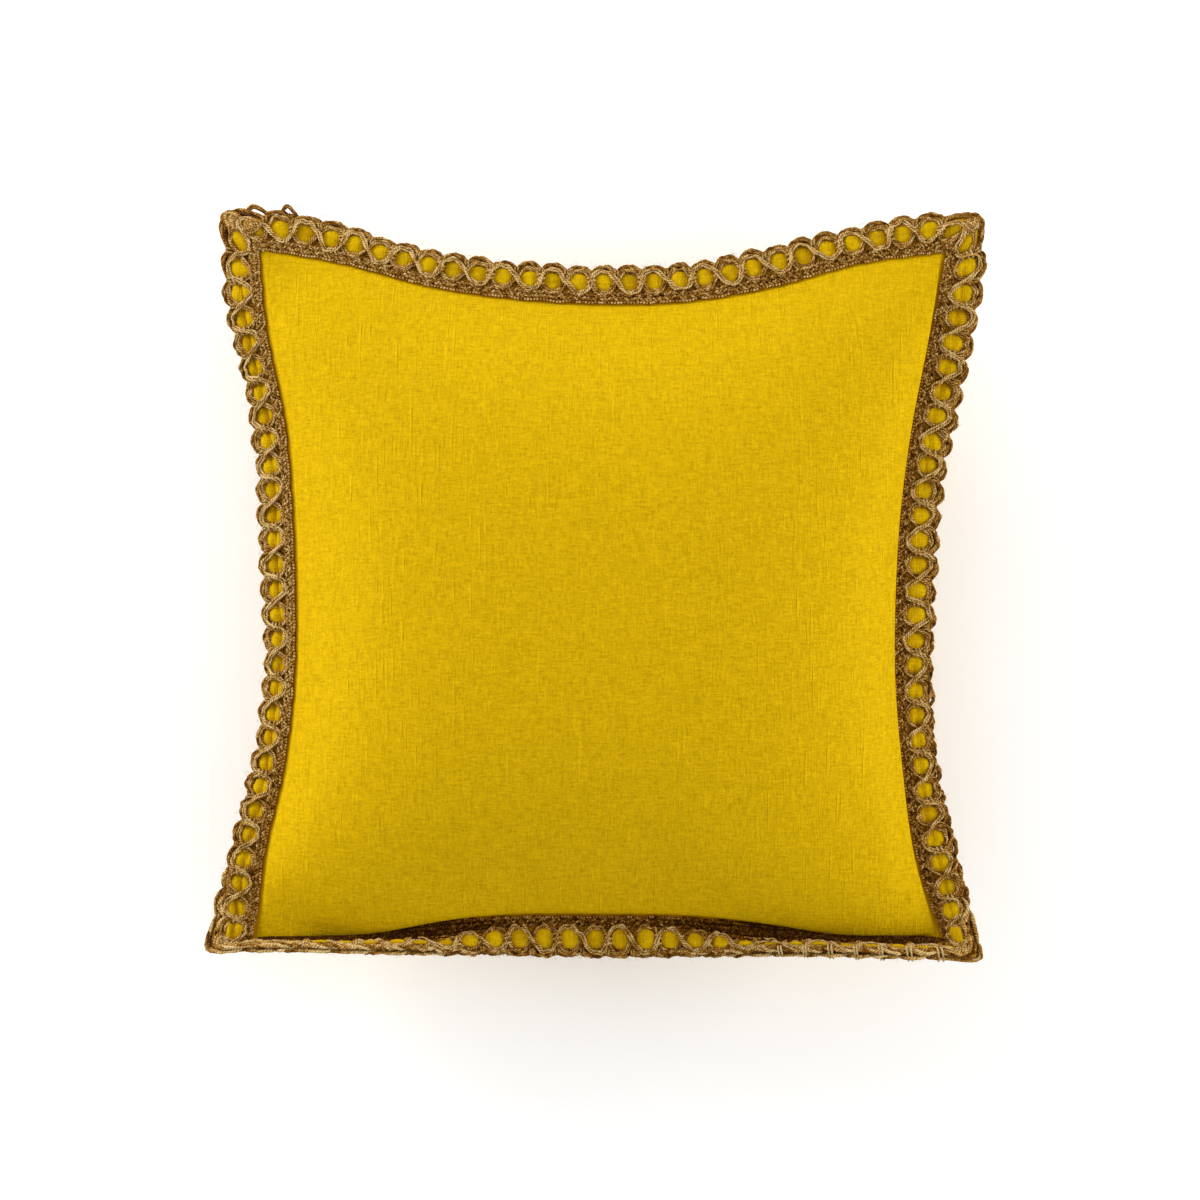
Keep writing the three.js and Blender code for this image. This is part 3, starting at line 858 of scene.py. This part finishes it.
def doubled(border, strand, yarns):
    """Two yarns side by side along one strand of the figures of eight."""
    line = closed_line(strand_keys(strand), 3)
    u = line[:, 0]
    across = line[:, 1] + 0.22 * unevenness(u, 0.9, 0.3)
    points = border.place(u, across, line[:, 2] + 0.2 * unevenness(u, 0.9, 0.3))
    ahead = unit(np.roll(points, -1, 0) - np.roll(points, 1, 0))
    up = border.up(u)
    sideways = unit(np.cross(ahead, up))
    turned = 0.5 * unevenness(u, 3, 0.7)
    for side, tone in ((-1, strand["tone"]), (1, strand["tone"] + 0.12)):
        offset = side * (strand["apart"] / 2) * (1 + 0.14 * unevenness(u, 1, 0.3))
        shift = sideways * (offset * np.cos(turned))[:, None] + up * (offset * np.sin(turned))[:, None]
        thickness = YARN * (1 + 0.13 * unevenness(u, 0.8, 0.25))
        # Painted light and shade: where the bottom border is turned up, the strand on top is painted
        # paler and the one beneath darker; the sides' painted shade darkens both
        painted_turned_up_contrast = 1.2 * (strand["tone"] - 0.5) * turned_to_front(u)
        tone = tone + 0.16 * unevenness(u, 1.2, 0.3) + painted_turned_up_contrast - 0.5 * painted_side_shade(u)
        yarns.add(points + shift, thickness, tone)


def rope_centre(u):
    """The outer rope's place across: in at the ties and out at the arcs' tips."""
    wave = np.abs(np.sin(np.pi * u)) ** 0.7
    reach = 1 + 0.12 * np.sin(np.floor(u) * 2.3)
    across = ROPE["across_tie"] + (ROPE["across_arc"] - ROPE["across_tie"]) * wave * reach
    pressed = from_to(u, STANDING_EDGE["start"], STANDING_EDGE["end"], 2)
    level = ROPE["across_arc"] - STANDING_EDGE["flatter"]
    return across + (level + 0.4 * (across - level) - across) * pressed


def rope_size(border, u):
    """The rope's lay, rise and yarn: it lies lower and fuller where the edge is turned up."""
    raised = around(ring["raised"], u + border.drift(u))
    return ROPE["lay"] + 0.45 * raised, ROPE["rise"] - 0.8 * raised, ROPE["yarn"] + 0.22 * raised


def outer_rope(border, yarns):
    """Three yarns laid into the rope that makes the scalloped outer arcs."""
    u = every(16)
    lays = round(ROUND / ROPE["pitch"])
    lay, rise, yarn = rope_size(border, u)
    raised = around(ring["raised"], u)
    for number in range(3):
        turn = TURN * (lays * u / ROUND + number / 3) + 0.4 * unevenness(u, 2, 0.7)
        across = rope_centre(u) + lay * np.cos(turn) + 0.15 * unevenness(u, 1, 0.3)
        # Painted light: the rope's yarns are painted paler where the edge is raised towards the light,
        # and the sides' painted shade darkens them
        tone = 0.04 + 0.13 * number + raised * (0.1 + 0.34 * number)
        tone = tone + 0.15 * unevenness(u, 1.2, 0.3) - 0.5 * painted_side_shade(u)
        thickness = yarn * (1 + 0.12 * unevenness(u, 0.8, 0.25))
        yarns.add(border.place(u, across, rise + lay * np.sin(turn)), thickness, tone)


def seam_cord(yarns):
    """Two dark yarns cover the seam where the two braids meet at the edge."""
    u = every(8)
    middle, outward = cloth_seam(u)
    facing = unit(around(ring["front_facing"], u))
    at = u + 0.38 * around(ring["front_lean"], u)
    on_left = ramp(u, 3 * CELLS + 1, 2)
    notched = -0.9 + 0.9 * on_left + (2.0 - 0.8 * on_left) * np.abs(np.sin(np.pi * at)) ** 0.8
    out = notched + (1.4 - notched) * around(ring["raised"], u) - 1.2 * daylight(u)
    out = out + at_corners(u, 1.2, (1.6, 1.0, 3.2, 2.6))
    for lag in (0, 0.5):
        turn = TURN * (145 * u / ROUND + lag) + 0.4 * unevenness(u, 2, 0.7)
        shift = outward * (out + 0.6 * np.cos(turn))[:, None] + facing * (0.9 * np.sin(turn))[:, None]
        # The sides' painted shade darkens the cord
        tone = 0.12 + 0.15 * unevenness(u, 1.2, 0.3) - 0.5 * painted_side_shade(u)
        yarns.add(middle + shift, STUFFING_YARN, tone)


def edge_stitches(yarns):
    """Pale yarns go round both braids' edges at the bottom right, once in each repeat."""
    turn = full_turn(14)
    for cell in range(2 * CELLS + 1, 2 * CELLS + 8):
        for step in (-0.06, 0.06):
            u = (cell + step + 0.06 * np.sin(turn) + chance.normal(0, 0.02)).clip(2 * CELLS)
            middle, outward = cloth_seam(u)
            facing = unit(around(ring["front_facing"], u))
            out = STITCH["from_seam"] + STITCH["across"] * np.cos(turn)
            up = STITCH["half_height"] * np.sin(turn)
            yarns.add(middle + outward * out[:, None] + facing * up[:, None], STITCH["yarn"], 1.0)


def rope_loops(border, yarns):
    """At each tie a loop of yarn goes round the outer rope, and shows most at the bottom right."""
    turn = full_turn(12)
    for cell in np.arange(ROUND, dtype=float):
        lean = chance.normal(0, 0.03)
        rise = rope_size(border, cell)[1]
        grown = 1.3 * turned_to_front(cell) * round_bump(cell, 2 * CELLS + 1, 6)
        for step in (-0.055, 0.055):
            across = rope_centre(cell) - grown + (1.75 + 1.4 * grown) * np.cos(turn)
            up = rise + (1.75 + 0.3 * grown) * np.sin(turn)
            points = border.place(cell + step + lean * np.cos(turn), across, up)
            # The sides' painted shade darkens the loops
            yarns.add(points, 0.55 + 0.12 * grown, 0.5 + 0.5 * grown - 0.4 * painted_side_shade(cell))


def eyelet_rims(border, yarns):
    """A dark yarn lies round each eyelet, under the strands, and a near-black one fills in beside them
    as painted shade.
    """
    turn = full_turn(18)
    for middle in np.arange(ROUND) + 0.5:
        jitter = chance.normal(0, 1, 3)
        uneven = 1 + 0.05 * np.sin(turn * 3 + jitter[0])
        u = middle + (0.41 + 0.012 * jitter[1]) * uneven * np.cos(turn)
        across = eyelet_middle(middle) + (eyelet_half(middle) - 0.5) * uneven * np.sin(turn)
        # The sides' painted shade darkens the rim yarn
        tone = 0.16 + 0.06 * jitter[2] - 0.4 * painted_side_shade(middle) + 0.1 * np.sin(turn * 4)
        yarns.add(border.place(u, across, 1.0), STUFFING_YARN, tone)
        # Painted shade: a near-black yarn fills the gaps beside each eyelet
        beside = eyelet_middle(middle) + (eyelet_half(middle) + 0.4) * np.sin(turn)
        yarns.add(border.place(middle + 0.475 * np.cos(turn), beside, 0.8), STUFFING_YARN, 0.0)


def corner_coils(border, yarns):
    """Turns of yarn that fill the braid's corners outside the last eyelets."""
    turn = full_turn(16)
    for corner, (wide, middle) in enumerate(CORNER_COILS):
        for size, tone in zip(COILS["sizes"], COILS["tones"]):
            jitter = chance.normal(0, 1, 2)
            u = corner * CELLS + 0.02 * jitter[0] + wide * size * np.cos(turn)
            across = middle + 0.3 * jitter[1] + COILS["half"] * size * np.sin(turn)
            rise = 2.0 + 0.9 * (1 - size) + 0.5 * np.sin(turn * 2)
            yarns.add(border.place(u, across, rise), COILS["yarn"], tone)


def ties(border, yarns):
    """Every other crossing is bound with a few turns of yarn."""
    turn = full_turn(10)
    for cell in range(0, ROUND, 2):
        for number in range(TIE["turns"]):
            middle = eyelet_middle(cell) + TIE["pitch"] * (number - 1) + chance.normal(0, 0.3)
            across = middle + 0.9 * np.cos(turn + 0.7)
            rise = 2.4 + TIE["size"] * np.sin(turn)
            points = border.place(cell + TIE["reach"] * np.cos(turn), across, rise)
            yarns.add(points, TIE["yarn"], 0.4 + 0.14 * number)


def heading_across(border, u, share):
    on_top = (np.asarray(u) < CELLS) * -0.9
    inner = HEADING["inner"] + on_top + 2.4 * border.is_front * around(ring["turned_up"], u)
    # Where the bottom border is turned up the heading spreads wider, across the recess under the belly,
    # where its yarns are painted dark as its shadow
    outer = HEADING["outer"] + 6.2 * turned_to_front(u)
    return inner + (outer - inner) * share


def heading(border, yarns):
    """The dense heading: two plaits side by side over a ground cord, and a beaded cord inside."""
    u = every(18)
    # Painted shade: the heading is darkened by the sides' painted shade, and much more where the bottom
    # border is turned up, for the shadow under the overhanging belly
    shade = painted_side_shade(u) + border.painted_recess_shade * turned_to_front(u)
    for share, lag in ((0.34, 0.0), (0.82, 1.3)):
        for number in range(3):
            turn = TURN * (2 * u + number / 3) + lag + 0.3 * unevenness(u, 2, 0.6)
            loose = 1 + 0.2 * unevenness(u, 2, 0.5)
            across = heading_across(border, u, share) + loose * np.sin(turn)
            rise = 1.7 + 0.75 * np.sin(2 * turn + 0.6) + 0.15 * unevenness(u, 1, 0.3)
            tone = 0.1 + 0.2 * number + 0.2 * unevenness(u, 1, 0.3) - shade
            yarns.add(border.place(u, across, rise), HEADING["yarn"], tone)
    beads = every(30)
    swelling = 0.5 - 0.5 * np.cos(TURN * beads * HEADING["beads"])
    across = heading_across(border, beads, -0.04) + 0.25 * unevenness(beads, 2, 0.5)
    # Painted shade: the beads darken with the sides' painted shade, and with the recess's shadow where
    # the bottom border is turned up
    tone = 0.9 * swelling + 0.25 * unevenness(beads, 1, 0.3) - painted_side_shade(beads) - turned_to_front(beads)
    yarns.add(border.place(beads, across, 1.2), 0.40 + 0.45 * swelling, tone)
    # Painted shade: the ground cords under the plaits are painted near black, for the shade between the
    # plaits; where the bottom border is turned up they are thicker and darker still, for the shadow in
    # the recess
    ground = every(4)
    wider = 0.9 * turned_to_front(ground)
    for share in (0.1, 0.45, 0.8, 1.2):
        points = border.place(ground, heading_across(border, ground, share), 0.8)
        yarns.add(points, STUFFING_YARN + wider, -0.6 * wider)


def end_knot(border, yarns):
    """Where the braid's two ends lap, one eyelet is filled with a raised coil of their yarn."""
    middle = border.place(*KNOT["at"])
    turn = np.linspace(0, KNOT["turns"] * TURN, KNOT["points"])
    size = np.linspace(1, 0.12, KNOT["points"])
    for lag, tone in ((0, 0.5), (np.pi, 0.15)):
        radius = KNOT["radius"] * size * (1 + 0.1 * np.sin(turn * 3.3 + lag))
        height = KNOT["height"] * (1 - size ** 2) + 0.5 * np.sin(turn * 4)
        coil = np.stack([radius * np.cos(turn + lag), radius * np.sin(turn + lag), height], -1)
        yarns.add(middle + coil, KNOT["yarn"], tone + 0.15 * np.sin(turn * 5), closed=False)


def hairs(border, yarns, count):
    """Loose fibres that stand off the braid's yarns."""
    u = chance.uniform(0, ROUND, count)
    across = 25 - 18 * chance.uniform(0, 1, count) ** 1.4
    rise = chance.uniform(1.2, 4.2, count)
    roots = border.place(u, across, rise)
    ways = unit(chance.normal(0, 1, (count, 3)))
    ways[:, 2] = np.abs(ways[:, 2]) * 0.6
    lengths = chance.uniform(1.2, 3.4, count)
    tones = chance.uniform(0.2, 0.8, count)
    for root, way, length, tone in zip(roots, ways, lengths, tones):
        yarns.add(np.array([root, root + way * length]), 0.07, tone, closed=False)


def braid(border, name, tree):
    """The pieces of one braid. The back one, which lies underneath, has plainer yarns."""
    strands, rope, dense, fuzz = Yarns(), Yarns(), Yarns(), Yarns()
    for strand in STRANDS:
        doubled(border, strand, strands)
    ties(border, strands)
    if border.is_front:
        end_knot(border, strands)
    for make in (outer_rope, rope_loops, eyelet_rims, corner_coils):
        make(border, rope)
    if border.is_front:
        seam_cord(rope)
        edge_stitches(rope)
    heading(border, dense)
    hairs(border, fuzz, 2600 if border.is_front else 1500)
    sides = (6, 5, 5, 3) if border.is_front else (5, 5, 4, 3)
    parts = (("strands", strands), ("outer_rope", rope), ("heading", dense), ("loose_fibres", fuzz))
    return [yarns.piece(name + "_" + part, tree, count) for (part, yarns), count in zip(parts, sides)]


# Materials

def math_node(tree, operation, *values):
    return node(tree, "ShaderNodeMath", dict(enumerate(values)), operation=operation).outputs[0]


def weighted(tree, *parts):
    """The sum of several sockets, each times its own weight."""
    total = 0
    for value, weight in parts:
        total = math_node(tree, "ADD", total, math_node(tree, "MULTIPLY", value, weight))
    return total


def mixed(tree, factor, first, second):
    made = node(tree, "ShaderNodeMix", {0: factor}, data_type="RGBA")
    for socket, value in ((6, first), (7, second)):
        if isinstance(value, bpy.types.NodeSocket):
            tree.links.new(value, made.inputs[socket])
        else:
            made.inputs[socket].default_value = (*value, 1)
    return made.outputs[2]


def noise(tree, places, scale, detail, roughness):
    inputs = {"Vector": places, "Scale": scale, "Detail": detail, "Roughness": roughness}
    return node(tree, "ShaderNodeTexNoise", inputs).outputs["Fac"]


def attribute(tree, name, output="Fac"):
    return node(tree, "ShaderNodeAttribute", attribute_name=name).outputs[output]


def new_material(name, specular=0.02):
    material = bpy.data.materials.new(name)
    material.use_nodes = True
    tree = material.node_tree
    tree.nodes.clear()
    shader = node(tree, "ShaderNodeBsdfPrincipled", {"Roughness": 0.9, "Specular IOR Level": specular})
    node(tree, "ShaderNodeOutputMaterial", {"Surface": shader.outputs["BSDF"]})
    return material, tree, shader


def finish_material(tree, shader, colour, height, strength):
    """Links a colour to the shader, and a height as its bump."""
    bump = node(tree, "ShaderNodeBump", {"Strength": strength, "Distance": 0.0005, "Height": height})
    tree.links.new(colour, shader.inputs["Base Color"])
    tree.links.new(bump.outputs["Normal"], shader.inputs["Normal"])


def jute():
    """Two-ply jute twine: the plies wind along each yarn, with fine fibres and uneven tone."""
    material, tree, shader = new_material("jute_twine")
    along, tone = attribute(tree, "along"), attribute(tree, "tone")
    parts = node(tree, "ShaderNodeSeparateXYZ", {"Vector": attribute(tree, "round", "Vector")})
    x, y = parts.outputs["X"], parts.outputs["Y"]
    winding = math_node(tree, "MULTIPLY", along, TURN / PLY_LENGTH)
    ply = math_node(tree, "SINE", math_node(tree, "ADD", math_node(tree, "ARCTAN2", y, x), winding))
    groove = math_node(tree, "POWER", math_node(tree, "ABSOLUTE", ply), 0.6)

    lengthways = {
        "X": math_node(tree, "MULTIPLY", along, 500),
        "Y": math_node(tree, "MULTIPLY", x, 2.2),
        "Z": math_node(tree, "ADD", math_node(tree, "MULTIPLY", y, 2.2), tone),
    }
    fibres = noise(tree, node(tree, "ShaderNodeCombineXYZ", lengthways).outputs[0], 1.6, 4, 0.65)
    patches = noise(tree, node(tree, "ShaderNodeTexCoord").outputs["Object"], 420, 3, 0.7)
    light = weighted(tree, (tone, 0.72), (fibres, 1.1), (patches, 1.5), (-0.92, 1))
    # Painted shade: the colour darkens in the grooves between the plies, besides their bump
    light = math_node(tree, "MULTIPLY", light, weighted(tree, (groove, 0.75), (0.35, 1)))
    tones = node(tree, "ShaderNodeValToRGB", {"Fac": light})
    stops = tones.color_ramp.elements
    for number, (place, colour) in enumerate(JUTE_TONES):
        stop = stops[number] if number < len(stops) else stops.new(place)
        stop.position, stop.color = place, (*colour, 1)
    height = weighted(tree, (groove, 1), (fibres, 0.7))
    finish_material(tree, shader, tones.outputs["Color"], height, 0.9)
    return material


def slub_cloth():
    """Plain-woven yellow cloth: thin threads both ways, and slubs of thicker, paler thread."""
    material, tree, shader = new_material("yellow_slub_cloth")
    places = node(tree, "ShaderNodeTexCoord").outputs["Object"]

    def streaks(scales, start=None, end=None):
        """Noise stretched by these scales, and cut down to its peaks if start and end are given."""
        stretched = node(tree, "ShaderNodeVectorMath", {0: places, 1: scales}, operation="MULTIPLY")
        value = noise(tree, stretched.outputs[0], 1, 1, 0.6)
        if start is None:
            return value
        sockets = {"Value": value, "From Min": start, "From Max": end}
        return node(tree, "ShaderNodeMapRange", sockets).outputs[0]

    warp = streaks((1000, 150, 150))
    weft = streaks((170, 1000, 170))
    crepe = streaks((800, 800, 800))
    slubs = streaks((700, 26, 26), 0.60, 0.80)
    cross_slubs = streaks((30, 700, 30), 0.64, 0.84)

    parts = node(tree, "ShaderNodeSeparateXYZ", {"Vector": places})
    threads = [
        math_node(tree, "SINE", math_node(tree, "MULTIPLY", parts.outputs[axis], TURN / THREAD_PITCH))
        for axis in ("X", "Y")
    ]
    weave = math_node(tree, "MULTIPLY", *threads)

    tone = weighted(tree, (warp, 0.85), (weft, 0.95), (crepe, 0.8), (slubs, 0.35), (cross_slubs, 0.2))
    tone = node(tree, "ShaderNodeMapRange", {"Value": tone, "From Min": 0.9, "From Max": 1.9}).outputs[0]
    dark, pale, hollow_shade_colour = (
        tuple(c * f for c, f in zip(CLOTH_YELLOW, factors)) for factors in CLOTH_SHADES
    )
    woven = mixed(tree, tone, dark, pale)
    # Painted shade: the cloth is darkened towards the hollow shade colour where its border attribute is
    # high, low in the eyelets and on the rounded edge
    with_hollow_shade = mixed(tree, math_node(tree, "MULTIPLY", attribute(tree, "border"), 0.8), woven, hollow_shade_colour)
    height = weighted(tree, (slubs, 1.4), (warp, 1), (weft, 0.8), (weave, 0.15), (crepe, 0.9))
    finish_material(tree, shader, with_hollow_shade, height, 0.8)
    return material


def plain_floor():
    material, _, shader = new_material("pale_floor", specular=0.1)
    shader.inputs["Base Color"].default_value = (0.93, 0.93, 0.925, 1)
    shader.inputs["Emission Color"].default_value = (1, 1, 1, 1)
    shader.inputs["Emission Strength"].default_value = 0.19
    return material


cushion.data.materials.append(slub_cloth())
twine = yarn_tree(jute())
front_pieces = braid(front_border, "front_braid", twine)
back_pieces = braid(back_border, "back_braid", twine)

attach(cushion, "root")
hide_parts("cushion")
for pieces, replaced in ((front_pieces, "braid_front"), (back_pieces, "braid_back")):
    for piece in pieces:
        piece.data.shade_smooth()
        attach(piece, "root")
        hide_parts(replaced)


# Floor, light and camera

FLOOR_HALF = 3
floor_mesh = bpy.data.meshes.new("floor")
floor_corners = [(x * FLOOR_HALF, y * FLOOR_HALF, 0) for x, y in ((-1, -1), (1, -1), (1, 1), (-1, 1))]
floor_mesh.from_pydata(floor_corners, [], [(0, 1, 2, 3)])
floor_mesh.materials.append(plain_floor())
in_scene("floor", floor_mesh)


def soft_light(name, place, power):
    lamp = bpy.data.lights.new(name, "AREA")
    lamp.shape, lamp.size, lamp.energy = "DISK", 1.3, power
    holder = in_scene(name, lamp)
    holder.location = place
    aim = Vector((0, 0, 0.07)) - Vector(place)
    holder.rotation_euler = aim.to_track_quat("-Z", "Y").to_euler()


soft_light("key", (-2.03, 1.43, 0.85), 50)
soft_light("side", (2.28, 0.24, 0.72), 31)

world = bpy.data.worlds.new("studio")
world.use_nodes = True
sky = world.node_tree.nodes["Background"].inputs
sky["Color"].default_value = (1, 1, 1, 1)
sky["Strength"].default_value = 0.74
bpy.context.scene.world = world
bpy.context.scene.view_settings.view_transform = "Standard"

LENS, SENSOR = 85, 36
VIEW_WIDTH = 0.701  # what the photograph's frame covers at the level of the edge seam
VIEW_CENTRE = (3.2, -9.3)  # the middle of that frame
camera_data = bpy.data.cameras.new("camera")
camera_data.lens, camera_data.sensor_width = LENS, SENSOR
camera = in_scene("camera", camera_data)
aim = to_row([*VIEW_CENTRE, 0])
camera.location = (aim[0], aim[1], aim[2] + VIEW_WIDTH * LENS / SENSOR)
bpy.context.scene.camera = camera
